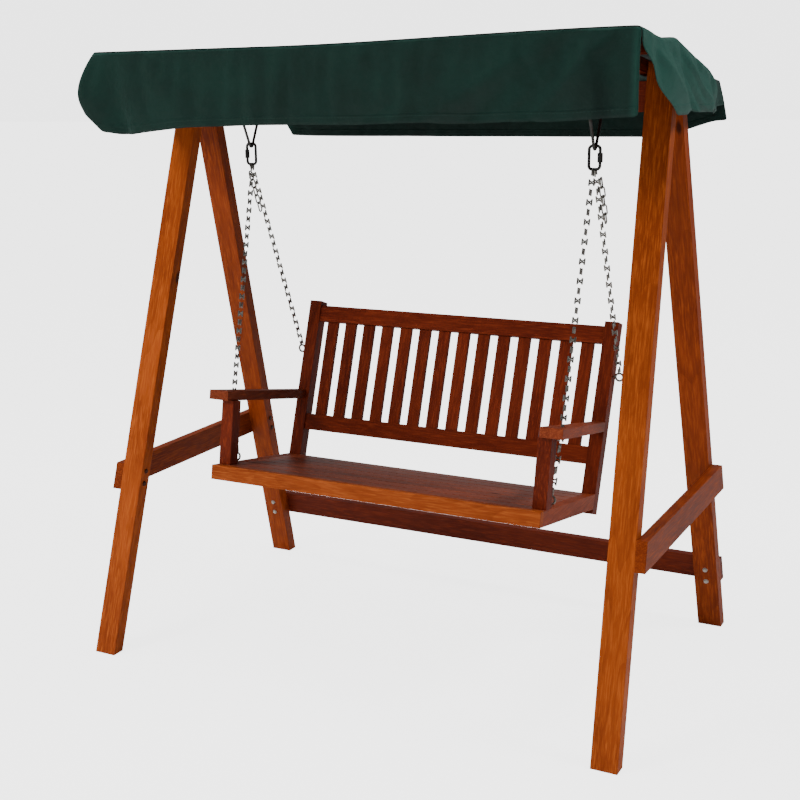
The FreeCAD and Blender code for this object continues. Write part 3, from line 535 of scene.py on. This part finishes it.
def rear_point(across, down):
    """The rear valance, flared at its right end and drawn in at the bottom of its left end."""
    top = roof_point(across, 1.0)
    flare = 0.028 * smooth(0.4, 0.72, abs(top.x)) * down
    drawn = 0.030 * smooth(-0.66, -0.71, top.x) * smooth(0.75, 1.0, down)
    out = 0.006 * math.sin(math.pi * down) + 0.004 * math.sin(top.x * 17.0) * down
    x = top.x + math.copysign(flare, top.x) + drawn
    return Vector((x, top.y + out, mix(top.z, rear_hem(top.x), down)))


def rear_seam(side, down):
    """Where a side flap is sewn to the end of the rear valance, depth 0 at its top and 1 at its own hem."""
    share = (REAR_TOP - flap_hem(side, REAR_Y)) / (REAR_TOP - rear_hem(side * REAR_HALF))
    return rear_point((side + 1) / 2, down * share)


def slit_edge(down):
    """Y of the right flap's free front edge, which falls back from the corner to its short hem."""
    return FRONT_Y + 0.125 * smooth(0.10, 0.85, down) + 0.120 * smooth(0.70, 1.0, down)


def right_point(back, down):
    """The right flap bellies out over the leg top; only its first few centimetres meet the valance."""
    top = roof_point(1.0, back)
    edge = slit_edge(down)
    y = mix(edge, REAR_Y, back)
    belly = 0.026 * math.sin(math.pi * 0.75 * down) * (1 - smooth(0.2, 0.52, y))
    flare = 0.016 * down * smooth(0.3, 0.5, y)
    out = fold(FLAP_FOLDS, y, down) * (1 - smooth(0.40, 0.53, y)) + belly + flare
    own = Vector((top.x + out, y, mix(top.z, flap_hem(1, y), down)))
    return own.lerp(rear_seam(1, down), smooth(0.93, 1.0, back))


def left_point(back, down):
    """The left flap is sewn to the valance, whose rows its own rows meet, and bellies outwards."""
    top = roof_point(0.0, back)
    start = front_point(0.0, down * FLAP_ROWS / VALANCE_ROWS)
    held = 1 - smooth(0.0, 0.12, back)
    bulge = math.sin(math.pi * min(1.0, down * FLAP_ROWS / VALANCE_ROWS * 1.02))
    wave = 0.012 * math.sin(top.y * 21.0) * down
    x = top.x - 0.050 * bulge * mix(1.0, 0.35, smooth(0.0, 0.6, back)) + wave
    hem = mix(top.z, flap_hem(-1, top.y), down)
    own = Vector((x, top.y, hem)).lerp(rear_seam(-1, down), smooth(0.90, 1.0, back))
    return own.lerp(start + Vector((0, top.y - FRONT_Y, 0)), held)


def canopy_mesh():
    """The cover before draping: roof, valances and side flaps, sewn where their edges meet."""
    bm = bmesh.new()
    bm.verts.layers.float.new("from_hem")
    columns = round(2 * HALF / STEP)
    deep = round((REAR_Y - FRONT_Y) / STEP)
    panel(bm, columns, deep, roof_point)
    panel(bm, columns, VALANCE_ROWS, front_point, FRONT_TOP - front_hem(0.0))
    panel(bm, columns, VALANCE_ROWS, rear_point, REAR_TOP - rear_hem(0.0))
    panel(bm, deep, FLAP_ROWS, right_point, RIDGE_TOP - flap_hem(1, 0.0))
    panel(bm, deep, FLAP_ROWS, left_point, RIDGE_TOP - flap_hem(-1, 0.0))
    bmesh.ops.remove_doubles(bm, verts=bm.verts, dist=WELD)
    bmesh.ops.recalc_face_normals(bm, faces=bm.faces)
    mesh = bpy.data.meshes.new("canopy_cloth")
    bm.to_mesh(mesh)
    bm.free()
    return mesh


def held_share(point):
    """How firmly the frame holds the cloth at a point: 1 over the boards and seams, little elsewhere."""
    over = min(abs(point.y - FRONT_Y), abs(point.y - RIDGE_Y), abs(point.y - REAR_Y))
    beside = min(abs(abs(point.x) - half_width(point.y)), abs(abs(point.x) - SIDE_LINE))
    on_roof = point.z > roof_level(point.x, point.y) - 0.012
    if point.y > REAR_Y - 0.020 and abs(point.x) > REAR_HALF - 0.015:
        return 1.0             # the seams at the rear corners
    if on_roof and min(over, beside) < GRIP:
        return 1.0
    return 0.10 if on_roof else 0.16


def drape(cloth):
    """Lets the cloth settle under its own weight, with a little spare cloth in it for wrinkles."""
    rest = [v.co.copy() for v in cloth.data.vertices]
    group = cloth.vertex_groups.new(name="held")
    for v in cloth.data.vertices:
        group.add([v.index], held_share(v.co), "REPLACE")
    modifier = cloth.modifiers.new("drape", "CLOTH")
    settings = modifier.settings
    settings.quality = 6
    settings.mass = 0.28
    settings.tension_stiffness = 12.0
    settings.compression_stiffness = 12.0
    settings.shear_stiffness = 6.0
    settings.bending_stiffness = 0.35
    settings.air_damping = 3.0
    settings.vertex_group_mass = "held"
    settings.pin_stiffness = 1.2
    settings.shrink_min = -0.012
    modifier.collision_settings.use_collision = False
    modifier.point_cache.frame_start = 1
    modifier.point_cache.frame_end = SETTLE_FRAMES
    for step in range(1, SETTLE_FRAMES + 1):
        scene.frame_set(step)
    apply_modifiers(cloth)
    scene.frame_set(1)
    for v, start in zip(cloth.data.vertices, rest):
        moved = v.co - start
        if moved.length > SETTLE_LIMIT:
            v.co = start + moved.normalized() * SETTLE_LIMIT
        if start.z > roof_level(start.x, start.y) - ROOF_SINK:
            v.co.z = max(v.co.z, start.z - ROOF_SINK)


YARN = 0.0016                  # width of one thread's wave
STITCH = 0.009
STITCH_ROW = 0.0165            # from the hem's edge
PAINTED_LIGHT_FROM, PAINTED_LIGHT_TO = 0.745, 0.775     # painted light: the right flap, lit from the right, is painted paler beyond here


def canvas():
    """Dark green coated canvas: plain weave, pale slubs, dust on the top, a soft sheen and painted light on
    the right flap.
    """
    shader = Shader("green_canvas", Sheen_Weight=0.06, Sheen_Roughness=0.45, Specular_IOR_Level=0.22)
    shader.bsdf.inputs["Sheen Tint"].default_value = (0.45, 0.85, 0.75, 1.0)
    place = shader.position()
    split = shader.add("ShaderNodeSeparateXYZ")
    shader.feed(split.inputs[0], place)
    yarn = 2 * math.pi / YARN
    warp = shader.math("SINE", shader.math("MULTIPLY", split.outputs["X"], yarn))
    down = shader.math("ADD", split.outputs["Y"], split.outputs["Z"])
    weft = shader.math("SINE", shader.math("MULTIPLY", down, yarn))
    weave = shader.math("MULTIPLY", warp, weft)
    mottle = shader.noise(place, 5.0, detail=5.0, roughness=0.6)
    slubs = shader.noise(place, 420.0, detail=2.0)
    normal = shader.add("ShaderNodeNewGeometry").outputs["Normal"]
    upward = shader.ramp(shader.dot(normal, (0.0, 0.0, 1.0)), 0.2, 0.95)
    patchy = shader.ramp(mottle, 0.32, 0.7)
    colour = shader.blend(patchy, (0.0022, 0.0105, 0.0080), (0.0046, 0.0210, 0.0160))
    colour = shader.blend(shader.math("MULTIPLY", slubs, 0.35), colour, (0.0080, 0.034, 0.026))
    # painted light: the right flap and the roof's right edge are blended paler, standing in for the lamp from
    # the right
    painted_flap_light = shader.math("MULTIPLY", shader.ramp(split.outputs["X"], PAINTED_LIGHT_FROM, PAINTED_LIGHT_TO), 0.75)
    colour = shader.blend(painted_flap_light, colour, (0.0120, 0.062, 0.046))
    dust = shader.math("MULTIPLY", upward, shader.ramp(mottle, 0.3, 0.75, 0.05, 0.3))
    colour = shader.blend(dust, colour, (0.034, 0.090, 0.072))
    from_hem = shader.attribute("from_hem")
    hem = shader.ramp(from_hem, 0.023, 0.020)
    round_hem = shader.math("ADD", split.outputs["X"], split.outputs["Y"])
    run = shader.math("MULTIPLY", round_hem, 2 * math.pi / STITCH)
    dashes = shader.math("GREATER_THAN", shader.math("SINE", run), -0.4)
    off_row = shader.math("ABSOLUTE", shader.math("SUBTRACT", from_hem, STITCH_ROW))
    row = shader.math("LESS_THAN", off_row, 0.0009)
    stitches = shader.math("MULTIPLY", dashes, row)
    colour = shader.blend(shader.math("MULTIPLY", stitches, 0.3), colour, (0.012, 0.045, 0.035))
    wrinkles = shader.noise(place, 26.0, detail=4.0, roughness=0.5)
    stitched_hem = shader.math("ADD", hem, shader.math("MULTIPLY", stitches, -0.7))
    relief = shader.bump(wrinkles, 0.0045, 0.65)
    relief = shader.bump(stitched_hem, 0.0012, 0.9, relief)
    relief = shader.bump(shader.math("ADD", weave, slubs), 0.00025, 0.6, relief)
    roughness = shader.ramp(mottle, 0.3, 0.7, 0.50, 0.66)
    return shader.surface(colour, roughness, relief)


def canopy():
    """The draped, thickened and hemmed cover, which stands in for the plain CAD shell."""
    cloth = new_object("canopy_cloth", canopy_mesh())
    drape(cloth)
    smoother = cloth.modifiers.new("smooth", "SUBSURF")
    smoother.levels = 1
    smoother.render_levels = 1
    skin = cloth.modifiers.new("skin", "SOLIDIFY")
    skin.thickness = CLOTH_THICK
    skin.offset = 0.0
    apply_modifiers(cloth)
    shade_smooth(cloth.data)
    cloth.data.materials.append(canvas())
    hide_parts("canopy_cover")
    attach(cloth, "canopy")


# ---------------------------------------------------------------- stage, light and camera

EYE = Vector((1.691752, -3.437235, 1.682118))
YAW, PITCH, ROLL_ANGLE = (math.radians(angle) for angle in (29.801, -15.643, -1.293))
LENS = 60.243
SHIFT = (0.0849, 0.0595)


def camera():
    """The viewer stands to the right of the front, with the eye just below the canopy's top."""
    level = math.cos(PITCH)
    forward = Vector((-math.sin(YAW) * level, math.cos(YAW) * level, math.sin(PITCH)))
    right = Vector((math.cos(YAW), math.sin(YAW), 0.0))
    up = right.cross(forward)
    rolled_right = right * math.cos(ROLL_ANGLE) + up * math.sin(ROLL_ANGLE)
    rolled_up = up * math.cos(ROLL_ANGLE) - right * math.sin(ROLL_ANGLE)
    data = bpy.data.cameras.new("camera")
    data.lens = LENS
    data.shift_x, data.shift_y = SHIFT
    view = new_object("camera", data)
    turn = Matrix((rolled_right, rolled_up, -forward)).transposed().to_4x4()
    view.matrix_world = Matrix.Translation(EYE) @ turn
    scene.camera = view


FLOOR_REACH = 40.0
FLOOR_GAP = 0.0005             # keeps the floor clear of the feet
FLOOR_GLOW = 6.0
FLOOR_GLOW_SHARE = 0.55        # how much of what the camera sees of the floor is glow
SKY = 0.32
BACKDROP = 4.0


def floor():
    """A pale floor, half of it glow where it is seen directly; the glow lights nothing else."""
    shader = Shader("pale_floor")
    place = shader.position()
    grey = shader.ramp(shader.noise(place, 1.5), 0.3, 0.7, 0.84, 0.88)
    colour = shader.combine(grey, grey, grey)
    material = shader.surface(colour, 0.8, shader.bump(shader.noise(place, 60.0), 0.0005, 0.2))
    glow = shader.add("ShaderNodeEmission")
    glow.inputs["Strength"].default_value = FLOOR_GLOW
    direct = shader.add("ShaderNodeLightPath").outputs["Is Camera Ray"]
    seen = shader.math("MULTIPLY", direct, FLOOR_GLOW_SHARE)
    both = shader.add("ShaderNodeMixShader")
    shader.feed(both.inputs[0], seen)
    shader.feed(both.inputs[1], shader.bsdf.outputs[0])
    shader.feed(both.inputs[2], glow.outputs[0])
    shader.feed(shader.tree.nodes["Material Output"].inputs["Surface"], both.outputs[0])
    mesh = bpy.data.meshes.new("floor")
    corners = [(-1, -1, 0), (1, -1, 0), (1, 1, 0), (-1, 1, 0)]
    mesh.from_pydata([Vector(c) * FLOOR_REACH for c in corners], [], [(0, 1, 2, 3)])
    mesh.materials.append(material)
    plane = new_object("floor", mesh)
    plane.location.z = -FLOOR_GAP


def soft_light(name, place, target, size, power, colour=(1.0, 1.0, 1.0)):
    """A round lamp that lights the object without showing up in its gloss."""
    data = bpy.data.lights.new(name, "AREA")
    data.shape = "DISK"
    data.size = size
    data.energy = power
    data.color = colour
    lamp = new_object(name, data)
    lamp.location = place
    lamp.visible_glossy = False
    lamp.rotation_mode = "QUATERNION"
    lamp.rotation_quaternion = (Vector(target) - Vector(place)).to_track_quat("-Z", "Y")


WARM_WHITE = (1.0, 0.97, 0.93)


def studio_world():
    """A dim even sky for the light, which the camera sees as a bright backdrop."""
    world = bpy.data.worlds.new("studio")
    world.use_nodes = True
    tree = world.node_tree
    background = tree.nodes["Background"]
    background.inputs["Color"].default_value = (1.0, 1.0, 1.0, 1.0)
    background.inputs["Strength"].default_value = SKY
    backdrop = tree.nodes.new("ShaderNodeBackground")
    backdrop.inputs["Strength"].default_value = BACKDROP
    seen = tree.nodes.new("ShaderNodeLightPath")
    both = tree.nodes.new("ShaderNodeMixShader")
    tree.links.new(seen.outputs["Is Camera Ray"], both.inputs[0])
    tree.links.new(background.outputs[0], both.inputs[1])
    tree.links.new(backdrop.outputs[0], both.inputs[2])
    tree.links.new(both.outputs[0], tree.nodes["World Output"].inputs["Surface"])
    scene.world = world


def lights():
    """Soft lamps from the front left, the right and above, with a weak fill from the front right."""
    studio_world()
    soft_light("key", (-2.4, -3.9, 4.0), (0, 0, 0.6), 1.6, 185.0, WARM_WHITE)
    soft_light("low_key", (-3.4, -3.4, 1.2), (0, 0, 0.5), 2.0, 32.0, WARM_WHITE)
    soft_light("right_top", (2.9, 0.6, 4.2), (0.6, 0, 1.6), 1.0, 130.0)
    soft_light("overhead", (-1.2, -0.4, 4.6), (0, 0, 1.7), 2.0, 110.0)
    soft_light("front_fill", (2.6, -4.0, 1.0), (0.3, 0, 0.6), 2.2, 25.0)


# ---------------------------------------------------------------- the scene

camera()
floor()
lights()
finish_boards()
chain_steel = finish_steel()
chain_tails(chain_steel)
canopy()
